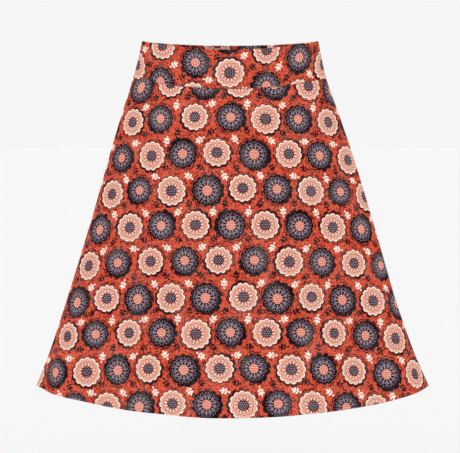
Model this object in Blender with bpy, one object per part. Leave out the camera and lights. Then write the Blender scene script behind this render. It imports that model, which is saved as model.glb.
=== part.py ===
"""An A-line midi skirt, filled out as if worn: a wide waistband over a flared front and back.

Metres, +Z up. The front faces -Y, and +X is the right hand of someone who looks at the front.
The origin is the middle of the waist, half way down the waistband at the side seams.
Run it with: blender --background --python part.py
"""

import math
from collections import namedtuple

import bmesh
import bpy
from mathutils import Vector

# ---------------------------------------------------------------- driving sizes

WAISTBAND_HEIGHT = 0.066  # at the side seams
SIDE_LENGTH = 0.622  # top edge to hem, straight down at the side seams
WAIST_TOP = WAISTBAND_HEIGHT / 2  # height of the top edge above the origin

PANEL_WALL = 0.0014  # one layer of firm stretch cotton
WAISTBAND_WALL = 0.0024  # the band is folded double
WAISTBAND_PROUD = 0.0004  # how far the double band stands out from the panels
SEAM_GAP = 0.0003  # between pieces that are sewn together

COLUMNS = 48  # quads from side seam to side seam
PANEL_ROWS = 20
WAISTBAND_ROWS = 4

# The skirt's level sections. drop is measured straight down from the top edge at the side seams.
# front and back are how far the section reaches from the side seams to its middle. fullness is 1
# for an ellipse, and less for a lens that is pinched at the side seams. dip is how much lower the
# middle hangs than the side seams do, and lean is how far the section sits to the right.
Section = namedtuple("Section", "drop half_width front back fullness front_dip back_dip lean")
SECTIONS = [
    Section(0.000, 0.1572, 0.068, 0.070, 0.95, 0.0184, 0.0048, 0.0004),
    Section(0.034, 0.1646, 0.073, 0.077, 0.90, 0.0196, 0.0105, 0.0000),
    Section(0.066, 0.1730, 0.078, 0.085, 0.82, 0.0207, 0.0160, -0.0006),
    Section(0.123, 0.1925, 0.090, 0.103, 0.74, 0.0230, 0.0180, 0.0004),
    Section(0.195, 0.2162, 0.101, 0.118, 0.69, 0.0260, 0.0200, 0.0020),
    Section(0.285, 0.2432, 0.106, 0.123, 0.66, 0.0290, 0.0230, 0.0034),
    Section(0.375, 0.2703, 0.109, 0.125, 0.64, 0.0305, 0.0250, 0.0031),
    Section(0.466, 0.2981, 0.115, 0.128, 0.63, 0.0325, 0.0270, 0.0022),
    Section(0.557, 0.3293, 0.126, 0.135, 0.62, 0.0340, 0.0290, 0.0032),
    Section(0.622, 0.3563, 0.139, 0.144, 0.62, 0.0350, 0.0310, 0.0046),
]
DIP_POWER = 1.75  # the higher, the more the dip gathers towards the middle

# Soft flutes that fall from the hips. across runs from -1 at one side seam over 0 at the middle to
# 1 at the other, swell is how far the cloth stands out (or in, below 0) at the hem, and starts is
# the drop where the flute begins.
Flute = namedtuple("Flute", "across breadth swell starts")
FRONT_FLUTES = [
    Flute(-0.70, 0.110, 0.0080, 0.20),
    Flute(-0.44, 0.130, -0.0085, 0.17),
    Flute(-0.17, 0.120, 0.0045, 0.27),
    Flute(0.05, 0.110, -0.0030, 0.34),
    Flute(0.25, 0.120, 0.0050, 0.24),
    Flute(0.49, 0.120, -0.0075, 0.19),
    Flute(0.73, 0.110, 0.0070, 0.26),
]
BACK_FLUTES = [
    Flute(-0.78, 0.100, 0.0065, 0.24),
    Flute(-0.56, 0.120, -0.0080, 0.20),
    Flute(-0.33, 0.120, 0.0065, 0.25),
    Flute(-0.08, 0.120, -0.0060, 0.30),
    Flute(0.16, 0.120, 0.0070, 0.22),
    Flute(0.38, 0.120, -0.0070, 0.23),
    Flute(0.62, 0.120, 0.0075, 0.27),
    Flute(0.84, 0.080, -0.0040, 0.33),
]
FLUTE_GROWTH = 1.5  # the higher this power, the more the flutes gather towards the hem
SIDE_SEAM_HOLD = 8  # the higher this power, the nearer the flutes run to the side seams

CORAL = (0.61, 0.115, 0.068)
CLOTH_ROUGHNESS = 0.85

NORMAL_STEP = 0.002  # how far to each side the form is sampled to find which way it faces


# ---------------------------------------------------------------- the form


def curve_value(rows, column, drop):
    """The column's value at a drop, on one smooth curve through the rows."""
    last = len(rows) - 1
    i = max(0, min(last - 1, sum(row.drop <= drop for row in rows) - 1))

    def slope(k):
        low, high = rows[max(k - 1, 0)], rows[min(k + 1, last)]
        return (getattr(high, column) - getattr(low, column)) / (high.drop - low.drop)

    above, below = rows[i], rows[i + 1]
    span = below.drop - above.drop
    t = (drop - above.drop) / span
    return (
        (2 * t**3 - 3 * t**2 + 1) * getattr(above, column)
        + (t**3 - 2 * t**2 + t) * span * slope(i)
        + (3 * t**2 - 2 * t**3) * getattr(below, column)
        + (t**3 - t**2) * span * slope(i + 1)
    )


def section_at(drop):
    """The level section at any drop between the top edge and the hem."""
    return Section(*(curve_value(SECTIONS, column, drop) for column in Section._fields))


def flute_swell(flutes, across, drop):
    """How far the flutes push the cloth out there."""
    total = 0.0
    for flute in flutes:
        grown = max(0.0, (drop - flute.starts) / (SIDE_LENGTH - flute.starts))
        profile = math.exp(-(((across - flute.across) / flute.breadth) ** 2))
        total += flute.swell * grown**FLUTE_GROWTH * profile
    return total * (1 - abs(across) ** SIDE_SEAM_HOLD)


def skin_point(face, flutes, across, drop):
    """A point of the skirt's outer form. face is -1 on the front half and 1 on the back half."""
    s = section_at(drop)
    depth, dip = (s.front, s.front_dip) if face < 0 else (s.back, s.back_dip)
    turn = across * math.pi / 2
    cosine = max(math.cos(turn), 0.0)
    outward = Vector((math.sin(turn) / s.half_width, face * cosine / depth)).normalized()
    swell = flute_swell(flutes, across, drop)
    return Vector(
        (
            s.lean + s.half_width * math.sin(turn) + swell * outward.x,
            face * depth * cosine ** (1 / s.fullness) + swell * outward.y,
            WAIST_TOP - drop - dip * cosine**DIP_POWER,
        )
    )


def cloth_point(face, flutes, across, drop, outward):
    """A point at a given height over the outer form, on its own side of the side seams."""
    left, right = max(across - NORMAL_STEP, -1), min(across + NORMAL_STEP, 1)
    high, low = max(drop - NORMAL_STEP, 0), min(drop + NORMAL_STEP, SIDE_LENGTH)
    sideways = skin_point(face, flutes, right, drop) - skin_point(face, flutes, left, drop)
    downward = skin_point(face, flutes, across, low) - skin_point(face, flutes, across, high)
    normal = sideways.cross(downward) * face
    if abs(across) == 1:
        normal.y = 0.0
    point = skin_point(face, flutes, across, drop) + normal.normalized() * outward
    point.y = face * (max(face * point.y, 0.0) + SEAM_GAP / 2)
    return point


# ---------------------------------------------------------------- the pieces


def cloth_material(name):
    """Matt coral cloth."""
    material = bpy.data.materials.new(name)
    material.use_nodes = True
    shader = material.node_tree.nodes["Principled BSDF"]
    shader.inputs["Base Color"].default_value = (*CORAL, 1)
    shader.inputs["Roughness"].default_value = CLOTH_ROUGHNESS
    shader.inputs["Metallic"].default_value = 0
    material.diffuse_color = (*CORAL, 1)
    return material


def cloth_piece(name, face, flutes, top, bottom, rows, proud, wall):
    """One cut piece: a flat slab of cloth, 2 wide and 2 high, laid on the skirt's form."""
    bm = bmesh.new()
    bmesh.ops.create_grid(bm, x_segments=COLUMNS, y_segments=rows, size=1)
    outside = bm.verts[:]
    extruded = bmesh.ops.extrude_face_region(bm, geom=bm.faces[:], use_keep_orig=True)
    inside = [item for item in extruded["geom"] if isinstance(item, bmesh.types.BMVert)]
    for vert in outside:
        vert.co.z = proud
    for vert in inside:
        vert.co.z = proud - wall
    bmesh.ops.recalc_face_normals(bm, faces=bm.faces[:])
    if face > 0:
        bmesh.ops.reverse_faces(bm, faces=bm.faces[:])
    for vert in bm.verts:
        down_share = (1 - vert.co.y) / 2
        drop = top + (bottom - top) * down_share
        vert.co = cloth_point(face, flutes, vert.co.x, drop, vert.co.z)

    mesh = bpy.data.meshes.new(name)
    bm.to_mesh(mesh)
    bm.free()
    mesh.shade_smooth()
    mesh.set_sharp_from_angle(angle=math.radians(40))
    piece = bpy.data.objects.new(name, mesh)
    bpy.context.scene.collection.objects.link(piece)
    mesh.materials.append(cloth_material(name))
    return piece


def build_skirt():
    """The four pieces, held together by an empty at the waist."""
    for old in list(bpy.data.objects):
        bpy.data.objects.remove(old)
    waist = bpy.data.objects.new("waist", None)
    bpy.context.scene.collection.objects.link(waist)
    panel_top = WAISTBAND_HEIGHT + SEAM_GAP / 2
    band_bottom = WAISTBAND_HEIGHT - SEAM_GAP / 2
    for half, face, flutes in (("front", -1, FRONT_FLUTES), ("back", 1, BACK_FLUTES)):
        band = cloth_piece(
            "waistband_" + half,
            face,
            flutes,
            top=0,
            bottom=band_bottom,
            rows=WAISTBAND_ROWS,
            proud=WAISTBAND_PROUD,
            wall=WAISTBAND_WALL,
        )
        panel = cloth_piece(
            "panel_" + half,
            face,
            flutes,
            top=panel_top,
            bottom=SIDE_LENGTH,
            rows=PANEL_ROWS,
            proud=0,
            wall=PANEL_WALL,
        )
        band.parent = waist
        panel.parent = waist


build_skirt()
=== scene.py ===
"""An A-line midi skirt in printed stretch cotton: cut, sewn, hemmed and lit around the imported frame.

Every length is in metres. The print's own drawing is worked out in millimetres, as a textile
designer would note it. The front faces -Y, and across runs from -1 at the left side seam, as seen
from the front, over 0 at the middle to 1 at the right one. drop is measured straight down from the
waistband's top edge at the side seams.
"""

import math
from collections import namedtuple

import bpy
import numpy as np
from bpy.props import FloatProperty, FloatVectorProperty, IntProperty, PointerProperty
from bpy.types import Operator, Panel, PropertyGroup
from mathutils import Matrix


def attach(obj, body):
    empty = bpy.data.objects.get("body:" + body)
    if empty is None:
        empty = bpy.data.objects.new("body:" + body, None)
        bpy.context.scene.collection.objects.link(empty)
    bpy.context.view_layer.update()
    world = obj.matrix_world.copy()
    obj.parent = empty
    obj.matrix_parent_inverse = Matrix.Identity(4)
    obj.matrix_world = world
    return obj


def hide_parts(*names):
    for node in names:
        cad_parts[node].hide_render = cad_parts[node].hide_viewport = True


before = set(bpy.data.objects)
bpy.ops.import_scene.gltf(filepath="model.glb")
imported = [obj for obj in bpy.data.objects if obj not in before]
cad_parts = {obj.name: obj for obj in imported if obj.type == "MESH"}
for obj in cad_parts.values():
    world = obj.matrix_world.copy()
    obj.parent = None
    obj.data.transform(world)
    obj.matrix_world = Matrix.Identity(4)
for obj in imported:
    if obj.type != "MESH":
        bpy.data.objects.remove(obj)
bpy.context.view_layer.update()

bl_info = {
    "name": "A-line Midi Skirt",
    "version": (1, 0, 0),
    "blender": (4, 5, 0),
    "location": "3D View > Sidebar > Skirt",
    "description": "Sews a printed A-line skirt with a wide shaped waistband",
    "category": "Object",
}

ROOT = "root"

# ---------------------------------------------------------------- the skirt's form

WAISTBAND_HEIGHT = 0.066
SIDE_LENGTH = 0.622
WAIST_TOP = WAISTBAND_HEIGHT / 2
WAISTBAND_PROUD = 0.0004
SEAM_GAP = 0.0003

# front and back are how far a level section reaches from the side seams to its middle. fullness is
# 1 for an ellipse, and less for a lens that is pinched at the side seams. dip is how much lower the
# middle hangs than the side seams do, and lean is how far the section sits to the right.
Section = namedtuple("Section", "drop half_width front back fullness front_dip back_dip lean")
SECTIONS = [
    Section(0.000, 0.1572, 0.068, 0.070, 0.95, 0.0184, 0.0048, 0.0004),
    Section(0.034, 0.1646, 0.073, 0.077, 0.90, 0.0196, 0.0105, 0.0000),
    Section(0.066, 0.1730, 0.078, 0.085, 0.82, 0.0207, 0.0160, -0.0006),
    Section(0.123, 0.1925, 0.090, 0.103, 0.74, 0.0230, 0.0180, 0.0004),
    Section(0.195, 0.2162, 0.101, 0.118, 0.69, 0.0260, 0.0200, 0.0020),
    Section(0.285, 0.2432, 0.106, 0.123, 0.66, 0.0290, 0.0230, 0.0034),
    Section(0.375, 0.2703, 0.109, 0.125, 0.64, 0.0305, 0.0250, 0.0031),
    Section(0.466, 0.2981, 0.115, 0.128, 0.63, 0.0325, 0.0270, 0.0022),
    Section(0.557, 0.3293, 0.126, 0.135, 0.62, 0.0340, 0.0290, 0.0032),
    Section(0.622, 0.3563, 0.139, 0.144, 0.62, 0.0350, 0.0310, 0.0046),
]
DIP_POWER = 1.75

# Soft flutes that fall from the hips: swell is how far the cloth stands out (or in, below 0) at the
# hem, and starts is the drop where the flute begins.
Flute = namedtuple("Flute", "across breadth swell starts")
FRONT_FLUTES = [
    Flute(-0.70, 0.110, 0.0080, 0.20),
    Flute(-0.44, 0.130, -0.0085, 0.17),
    Flute(-0.17, 0.120, 0.0045, 0.27),
    Flute(0.05, 0.110, -0.0030, 0.34),
    Flute(0.25, 0.120, 0.0050, 0.24),
    Flute(0.49, 0.120, -0.0075, 0.19),
    Flute(0.73, 0.110, 0.0070, 0.26),
]
BACK_FLUTES = [
    Flute(-0.78, 0.100, 0.0065, 0.24),
    Flute(-0.56, 0.120, -0.0080, 0.20),
    Flute(-0.33, 0.120, 0.0065, 0.25),
    Flute(-0.08, 0.120, -0.0060, 0.30),
    Flute(0.16, 0.120, 0.0070, 0.22),
    Flute(0.38, 0.120, -0.0070, 0.23),
    Flute(0.62, 0.120, 0.0075, 0.27),
    Flute(0.84, 0.080, -0.0040, 0.33),
]
FLUTE_GROWTH = 1.5
SIDE_SEAM_HOLD = 8

# Soft creases of the cloth, as runs on the flat cut of a panel: x from the middle, to the right, and
# y down from the waist seam. A crease bows sideways by bow at its middle, is breadth to each side of
# its line, and rises by height there (or sinks, below 0).
Crease = namedtuple("Crease", "x y to_x to_y bow breadth height")
FRONT_CREASES = [
    Crease(-0.150, 0.020, -0.215, 0.210, 0.006, 0.011, -0.0016),
    Crease(-0.105, 0.060, -0.150, 0.300, -0.008, 0.014, 0.0012),
    Crease(-0.030, 0.180, -0.045, 0.430, 0.005, 0.018, -0.0010),
    Crease(0.040, 0.090, 0.075, 0.360, -0.006, 0.016, 0.0011),
    Crease(0.120, 0.030, 0.185, 0.260, -0.007, 0.012, -0.0015),
    Crease(0.165, 0.140, 0.250, 0.400, 0.008, 0.014, 0.0013),
    Crease(-0.240, 0.300, -0.330, 0.620, 0.010, 0.017, 0.0022),
    Crease(-0.170, 0.360, -0.220, 0.660, -0.009, 0.015, -0.0020),
    Crease(0.100, 0.380, 0.130, 0.660, 0.006, 0.020, 0.0016),
    Crease(0.225, 0.350, 0.315, 0.640, 0.009, 0.014, -0.0021),
    Crease(-0.060, 0.470, -0.075, 0.660, 0.004, 0.015, 0.0012),
    Crease(0.010, 0.420, 0.020, 0.660, -0.004, 0.022, -0.0012),
]
BACK_CREASES = [
    Crease(-0.140, 0.040, -0.195, 0.250, -0.006, 0.013, 0.0014),
    Crease(-0.080, 0.030, -0.105, 0.220, 0.005, 0.012, -0.0013),
    Crease(0.005, 0.120, -0.010, 0.340, 0.006, 0.017, 0.0010),
    Crease(0.070, 0.020, 0.095, 0.240, 0.005, 0.012, -0.0014),
    Crease(0.145, 0.050, 0.215, 0.290, -0.008, 0.013, 0.0014),
    Crease(-0.250, 0.280, -0.340, 0.600, 0.009, 0.015, -0.0020),
    Crease(-0.150, 0.330, -0.190, 0.660, -0.007, 0.018, 0.0018),
    Crease(-0.045, 0.400, -0.060, 0.660, 0.005, 0.016, -0.0015),
    Crease(0.055, 0.350, 0.075, 0.660, -0.006, 0.019, 0.0017),
    Crease(0.170, 0.370, 0.220, 0.650, 0.008, 0.014, -0.0019),
    Crease(0.260, 0.310, 0.350, 0.600, -0.009, 0.016, 0.0019),
]

# Soft waves of the hem's edge and the waist seam: the cloth hangs lower by sag there (or higher,
# below 0), less so past breadth across and past reach up and down.
Wave = namedtuple("Wave", "across drop breadth reach sag")
FRONT_WAVES = [
    Wave(-0.64, WAISTBAND_HEIGHT, 0.075, 0.022, -0.0055),
    Wave(-0.86, WAISTBAND_HEIGHT, 0.060, 0.020, 0.0015),
    Wave(0.70, WAISTBAND_HEIGHT, 0.090, 0.024, -0.0012),
    Wave(-0.80, SIDE_LENGTH, 0.10, 0.11, -0.0022),
    Wave(-0.43, SIDE_LENGTH, 0.10, 0.12, 0.0014),
    Wave(-0.21, SIDE_LENGTH, 0.09, 0.10, -0.0020),
    Wave(0.24, SIDE_LENGTH, 0.09, 0.11, -0.0016),
    Wave(0.53, SIDE_LENGTH, 0.14, 0.13, 0.0040),
]
BACK_WAVES = [
    Wave(-0.45, WAISTBAND_HEIGHT, 0.100, 0.024, 0.0014),
    Wave(0.58, WAISTBAND_HEIGHT, 0.080, 0.022, -0.0020),
    Wave(-0.66, SIDE_LENGTH, 0.12, 0.12, 0.0026),
    Wave(-0.30, SIDE_LENGTH, 0.10, 0.10, -0.0020),
    Wave(0.12, SIDE_LENGTH, 0.11, 0.11, 0.0018),
    Wave(0.47, SIDE_LENGTH, 0.12, 0.12, -0.0024),
]

Half = namedtuple("Half", "name face flutes creases waves")
HALVES = [
    Half("front", -1, FRONT_FLUTES, FRONT_CREASES, FRONT_WAVES),
    Half("back", 1, BACK_FLUTES, BACK_CREASES, BACK_WAVES),
]

NORMAL_STEP = 0.002  # how far to each side the form is sampled to find which way it faces
FINE_STEPS = 1001  # points along a line of the form that is measured
SEAM_ROLL = 0.0003  # how deep the cloth sinks softly towards a seam
SEAM_ROLL_REACH = 0.0022  # and how far from it

# The gathers beside the waist seam are two ripples. The longer one drifts, and both come and go.
PUCKER_HEIGHT = 0.0003
PUCKER_REACH = 0.016  # how far they run down from the seam
PUCKER_LENGTH = 0.0145
PUCKER_DRIFT, PUCKER_DRIFT_LENGTH = 2.2, 0.083
FINE_PUCKER, FINE_PUCKER_LENGTH = 0.6, 0.0091
PUCKER_PATCH = 0.137  # from one strongly gathered stretch to the next
PUCKER_STEADY, PUCKER_PATCHY = 0.55, 0.45  # the parts of their height that stay, and that come and go
BAND_PUCKER = 0.7  # how high the waistband's gathers are, as a share of the panels'
BAND_PUCKER_SHIFT = 0.006  # how far along the seam they are from the panels'
SIDE_HOLD = 0.02  # gathers and creases die away this near a side seam
CREASE_START = 0.03  # and creases this near the waist seam

# Where on the printed cloth each piece was cut, from its middle at the waist seam (or top edge).
CUT_FROM = {
    "skirt_front": (0.012, 0.020),
    "skirt_back": (0.871, 0.147),
    "waistband_front": (1.398, 0.031),
    "waistband_back": (1.593, 0.318),
}

CUT_MAP = "cut"  # the UV map that says where a point lies on the flat cloth, in metres
BAKE_MAP = "OFBake"  # the UV map that spreads a piece over one square


def column(name, drop):
    """A column of the section table at each drop, on one smooth curve through the rows."""
    at = np.array([row.drop for row in SECTIONS])
    value = np.array([getattr(row, name) for row in SECTIONS])
    slope = np.empty_like(value)
    slope[1:-1] = (value[2:] - value[:-2]) / (at[2:] - at[:-2])
    slope[0] = (value[1] - value[0]) / (at[1] - at[0])
    slope[-1] = (value[-1] - value[-2]) / (at[-1] - at[-2])
    i = np.clip(np.searchsorted(at, drop, side="right") - 1, 0, len(at) - 2)
    span = at[i + 1] - at[i]
    t = (drop - at[i]) / span
    return (
        (2 * t**3 - 3 * t**2 + 1) * value[i]
        + (t**3 - 2 * t**2 + t) * span * slope[i]
        + (3 * t**2 - 2 * t**3) * value[i + 1]
        + (t**3 - t**2) * span * slope[i + 1]
    )


def eased(t):
    """0 to 1 with soft ends."""
    t = np.clip(t, 0, 1)
    return t * t * (3 - 2 * t)


def sag(half, across, drop):
    """How much lower the cloth hangs for the waves of the hem's edge and the waist seam."""
    total = np.zeros_like(across)
    for wave in half.waves:
        beside = (across - wave.across) / wave.breadth
        beyond = (drop - wave.drop) / wave.reach
        total += wave.sag * np.exp(-(beside**2) - beyond**2)
    return total * (1 - np.abs(across) ** SIDE_SEAM_HOLD)


def skin(half, across, drop):
    """Points of the skirt's outer form, for arrays of across and drop of one shape."""
    side = half.name
    depth, dip = column(side, drop), column(side + "_dip", drop)
    half_width = column("half_width", drop)
    turn = across * math.pi / 2
    sine, cosine = np.sin(turn), np.maximum(np.cos(turn), 0)
    out_x, out_y = sine / half_width, half.face * cosine / depth
    length = np.hypot(out_x, out_y)
    swell = np.zeros_like(turn)
    for flute in half.flutes:
        grown = np.maximum(0, (drop - flute.starts) / (SIDE_LENGTH - flute.starts))
        profile = np.exp(-(((across - flute.across) / flute.breadth) ** 2))
        swell += flute.swell * grown**FLUTE_GROWTH * profile
    swell *= 1 - np.abs(across) ** SIDE_SEAM_HOLD
    x = column("lean", drop) + half_width * sine + swell * out_x / length
    y = half.face * depth * cosine ** (1 / column("fullness", drop)) + swell * out_y / length
    z = WAIST_TOP - drop - dip * cosine**DIP_POWER - sag(half, across, drop)
    return np.stack([x, y, z], axis=-1)


def facing(half, across, drop):
    """The form's outward normals, held square to the side seams' plane at the side seams."""
    left, right = np.maximum(across - NORMAL_STEP, -1), np.minimum(across + NORMAL_STEP, 1)
    high, low = np.maximum(drop - NORMAL_STEP, 0), np.minimum(drop + NORMAL_STEP, SIDE_LENGTH)
    sideways = skin(half, right, drop) - skin(half, left, drop)
    downward = skin(half, across, low) - skin(half, across, high)
    normal = np.cross(sideways, downward) * half.face
    normal[..., 1] *= np.abs(across) < 1
    return normal / np.linalg.norm(normal, axis=-1, keepdims=True)


def travelled(points, axis=0):
    """The distance from the first point along an axis to each point."""
    steps = np.linalg.norm(np.diff(points, axis=axis), axis=-1)
    so_far = np.cumsum(steps, axis=axis)
    return np.concatenate([np.zeros_like(so_far.take([0], axis=axis)), so_far], axis=axis)


def run_lengths(points):
    """The signed distance along each row of points from the row's middle point."""
    along = travelled(points, axis=1)
    middle = points.shape[1] // 2
    return along - along[:, middle : middle + 1]


def middle_fall(half, drop):
    """The length of the cloth down the middle of a half, from the waist seam to each drop."""
    fine = np.linspace(WAISTBAND_HEIGHT, SIDE_LENGTH, FINE_STEPS)
    return np.interp(drop, fine, travelled(skin(half, np.zeros_like(fine), fine)))


def level_run(half, drop):
    """Places across at one drop, and how far along the cloth each is from the middle."""
    across = np.linspace(-1, 1, FINE_STEPS)
    return across, run_lengths(skin(half, across[None, :], np.full((1, FINE_STEPS), drop)))[0]


def row_length(half, drop):
    """The length of the cloth from side seam to side seam at a drop."""
    return np.ptp(level_run(half, drop)[1])


def crease_height(creases, x, y):
    """How far the soft creases lift the cloth at points of the flat cut."""
    height = np.zeros_like(x)
    for crease in creases:
        run_x, run_y = crease.to_x - crease.x, crease.to_y - crease.y
        length = math.hypot(run_x, run_y)
        along = ((x - crease.x) * run_x + (y - crease.y) * run_y) / length**2
        aside = ((x - crease.x) * run_y - (y - crease.y) * run_x) / length
        inside = np.clip(along, 0, 1)
        aside = aside - crease.bow * 4 * inside * (1 - inside)
        height += crease.height * np.sin(math.pi * inside) * np.exp(-((aside / crease.breadth) ** 2))
    return height


# ---------------------------------------------------------------- sewing a grid of points


def mesh_object(name, verts, faces):
    """A new object in the scene, shaded smooth."""
    mesh = bpy.data.meshes.new(name)
    mesh.from_pydata(verts.tolist(), [], faces)
    mesh.shade_smooth()
    piece = bpy.data.objects.new(name, mesh)
    bpy.context.scene.collection.objects.link(piece)
    return piece


def grid_quads(rows, columns, start, flipped):
    """The quads of a grid of vertices that are numbered along its rows from start."""
    corner = start + (np.arange(rows - 1)[:, None] * columns + np.arange(columns - 1)[None, :]).ravel()
    quads = np.stack([corner, corner + 1, corner + columns + 1, corner + columns], axis=1)
    return quads[:, ::-1] if flipped else quads


def rim_quads(rows, columns, flipped):
    """The quads that close a two-sided grid round its four edges."""
    first = np.arange(columns)
    left = np.arange(rows) * columns
    loop = np.concatenate([first, left[1:] + columns - 1, (left[-1] + first)[::-1][1:], left[::-1][1:]])
    here, after = loop[:-1], loop[1:]
    count = rows * columns
    quads = np.stack([here, here + count, after + count, after], axis=1)
    return quads[:, ::-1] if flipped else quads


def sew_sheet(name, face, middle, thickness, cut, paints):
    """A closed thin sheet of cloth around a grid of points, with its own right and wrong side.

    cut is each point's place on the flat cloth. The right side looks along the grid's normal, and
    takes the first of the paints, as the rim does. The wrong side takes the second.
    """
    rows, columns = middle.shape[:2]
    points = rows * columns
    normal = face * np.cross(np.gradient(middle, axis=1), np.gradient(middle, axis=0))
    normal /= np.maximum(np.linalg.norm(normal, axis=2, keepdims=True), 1e-12)
    right_side = (middle + normal * thickness / 2).reshape(-1, 3)
    wrong_side = (middle - normal * thickness / 2).reshape(-1, 3)
    flipped = face < 0
    quads = [
        grid_quads(rows, columns, 0, flipped),
        grid_quads(rows, columns, points, not flipped),
        rim_quads(rows, columns, flipped),
    ]
    faces = np.concatenate(quads).tolist()
    piece = mesh_object(name, np.concatenate([right_side, wrong_side]), faces)
    mesh = piece.data
    for paint in paints:
        mesh.materials.append(paint)
    mesh.polygons.foreach_set("material_index", np.repeat([0, 1, 0], [len(q) for q in quads]))

    corners = np.concatenate(quads).ravel()
    flat = mesh.uv_layers.new(name=CUT_MAP)
    flat.uv.foreach_set("vector", cut.reshape(-1, 2)[corners % points].astype(np.float32).ravel())
    spread = mesh.uv_layers.new(name=BAKE_MAP)
    places = bake_places(rows, columns)[corners]
    rim_start = quads[0].size + quads[1].size
    places[rim_start:] = rim_places(rows, columns)[corners[rim_start:]]
    spread.uv.foreach_set("vector", places.astype(np.float32).ravel())
    return piece


BAKE_MARGIN = 0.008
BAKE_RIM = 0.004
BAKE_SPLIT = 0.27  # the wrong side has the square's lowest part, up to here


def square_places(rows, columns, low, high):
    """A place in the bake's square for each point of a grid, between two heights of the square."""
    across = np.linspace(BAKE_MARGIN, 1 - BAKE_MARGIN, columns)
    down = np.linspace(high - BAKE_MARGIN, low + BAKE_MARGIN, rows)
    return np.stack(np.meshgrid(across, down), axis=-1).reshape(-1, 2)


def bake_places(rows, columns):
    """Places for the right side's points, and then for the wrong side's."""
    return np.concatenate(
        [square_places(rows, columns, BAKE_SPLIT, 1), square_places(rows, columns, 0, BAKE_SPLIT)]
    )


def rim_places(rows, columns):
    """Places for the rim: the right side's edge, and for the wrong side's points just outside it."""
    inner = square_places(rows, columns, BAKE_SPLIT, 1)
    grid = inner.reshape(rows, columns, 2).copy()
    grid[0, :, 1] += BAKE_RIM
    grid[-1, :, 1] -= BAKE_RIM
    grid[:, 0, 0] -= BAKE_RIM
    grid[:, -1, 0] += BAKE_RIM
    return np.concatenate([inner, grid.reshape(-1, 2)])


# ---------------------------------------------------------------- laying cloth on the form

# The last rows of cloth at a seam, from its end inwards: how far each is from the seam along the
# form, and how deep the cloth has turned in there.
SeamRow = namedtuple("SeamRow", "out deep")
SEAM_ROWS = [
    SeamRow(0.00000, 0.00060),
    SeamRow(0.00003, 0.00036),
    SeamRow(0.00018, 0.00014),
    SeamRow(0.00050, 0.00004),
    SeamRow(0.00110, 0.00001),
]
SEAM_OUT = np.array([row.out for row in SEAM_ROWS])
SEAM_DEEP = np.array([row.deep for row in SEAM_ROWS])
SIDE_TURNS = 3  # the columns that turn in at a side seam
SIDE_DEEP = SEAM_DEEP[:SIDE_TURNS]
FOLD_STEPS = 6  # rows round a fold
HEM_ROWS = 6  # rows inside the hem
HEM_TURN, HEM_TURN_REACH = 0.3, 0.004  # the hem turns in less at the side seams, from just above it
BAND_TURN = 0.6  # and so does the doubled waistband
BAND_INSIDE_ROWS, BAND_OUTSIDE_ROWS = 24, 22
BAND_STANDS_OFF = 0.012  # over this height the band's inside makes room for the seam's layers


def seam_roll(distance):
    """How deep the cloth sinks at a distance from a seam."""
    return SEAM_ROLL * np.exp(-((distance / SEAM_ROLL_REACH) ** 2))


def ripple(run, length, phase=0):
    """A wave of a length along a run."""
    return np.sin(run * 2 * math.pi / length + phase)


def seam_puckers(run, distance):
    """Small uneven gathers of the cloth beside the waist seam, at a run along it."""
    waves = ripple(run, PUCKER_LENGTH, PUCKER_DRIFT * ripple(run, PUCKER_DRIFT_LENGTH))
    waves += FINE_PUCKER * ripple(run, FINE_PUCKER_LENGTH, phase=1.7)
    strength = PUCKER_STEADY + PUCKER_PATCHY * ripple(run, PUCKER_PATCH, phase=0.8)
    return PUCKER_HEIGHT * waves * strength * np.exp(-distance / PUCKER_REACH)


def laid(half, across, drop, lift, clear):
    """Points over the form by lift, kept clear of the side seams' plane."""
    points = skin(half, across, drop) + facing(half, across, drop) * lift[..., None]
    beyond = np.maximum(half.face * points[..., 1], clear) + SEAM_GAP / 2
    points[..., 1] = half.face * beyond
    return points


def columns_across(count):
    """Each column's place from side seam to side seam, and how deep it turns in at the seams."""
    ends = np.ones(SIDE_TURNS)
    across = np.concatenate([-ends, np.linspace(-1, 1, count)[1:-1], ends])
    deep = np.concatenate([SIDE_DEEP, np.zeros(count - 2), SIDE_DEEP[::-1]])
    return across, deep


def off_seams(half, across, drop, clear):
    """The places across, with all but the end ones drawn in to where the form is clear of the seams."""
    share = (clear / column(half.name, drop)) ** column("fullness", drop)
    inner = across * (1 - np.arcsin(share) * 2 / math.pi)
    return np.where(np.abs(across) < 1, inner, across)


def spread_out(rows, columns):
    """Two arrays of one shape, from a value for each row and one for each column."""
    return np.repeat(rows[:, None], len(columns), axis=1), np.repeat(columns[None, :], len(rows), axis=0)


def turned_edge(radius):
    """The half circle of a fold: how far each of its points is past the fold's middle, and in."""
    angle = np.linspace(0, math.pi, FOLD_STEPS + 1)[1:]
    return radius * np.sin(angle), radius * (1 - np.cos(angle))


# A path holds a value for each row of a piece: its drop, its lift over the form, how much of the side
# seams' turn it takes, and how deep it sinks beside the waist seam.
Path = namedtuple("Path", "drop lift turn sink")


def panel_path(cloth):
    """Rows of a panel's cloth, from the waist seam down to the hem and up inside it."""
    thick = cloth.thickness
    top = WAISTBAND_HEIGHT + SEAM_GAP / 2 + thick / 2
    radius = (thick + cloth.fold_gap) / 2
    fold = SIDE_LENGTH - thick / 2 - radius
    fall = np.linspace(top + SEAM_OUT[-1], fold, cloth.panel_rows)[1:]
    past, inward = turned_edge(radius)
    hem_top = SIDE_LENGTH - cloth.hem_depth
    inside = np.linspace(fold, hem_top, HEM_ROWS)[1:]
    drop = np.concatenate([top + SEAM_OUT, fall, fold + past, inside])
    lift = np.concatenate([-SEAM_DEEP, np.zeros(len(fall)), -inward, np.full(len(inside), -2 * radius)])
    turn = np.where(drop < hem_top - HEM_TURN_REACH, 1.0, HEM_TURN)
    return Path(drop, lift - thick / 2, turn, np.zeros_like(drop))


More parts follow.
